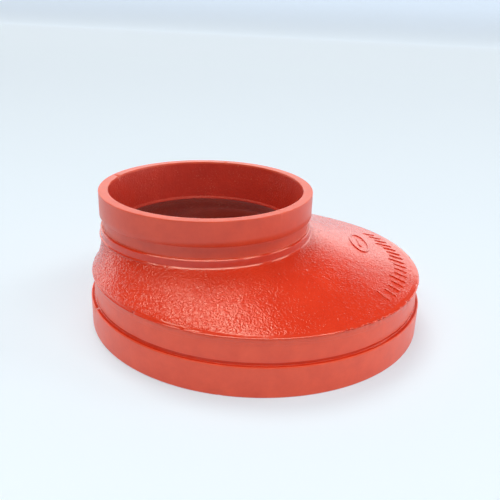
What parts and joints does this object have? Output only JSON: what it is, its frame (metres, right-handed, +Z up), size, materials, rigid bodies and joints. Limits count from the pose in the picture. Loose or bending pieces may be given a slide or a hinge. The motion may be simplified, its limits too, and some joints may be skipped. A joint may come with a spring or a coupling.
{
  "type": "grooved eccentric reducer",
  "caption": "One-piece cast pipe reducer with an off-centre small end above a wide large end, each with a turned coupling groove, painted orange-red.",
  "frame": {"origin": "centre of the large end's face, which is the bottom face that the part stands on", "axes": "+Z up along the large bore's axis, towards the small end; the small end's axis is set off towards -X, so the XZ plane is the plane of symmetry"},
  "size_m": [0.219, 0.219, 0.0832],
  "materials": {
    "painted_iron": "orange-red enamel over cast iron, glossy on the pebbled cast skin and satin on the turned ends"
  },
  "bodies": {
    "root": {"reducer_casting": "painted_iron"}
  },
  "joints": []
}
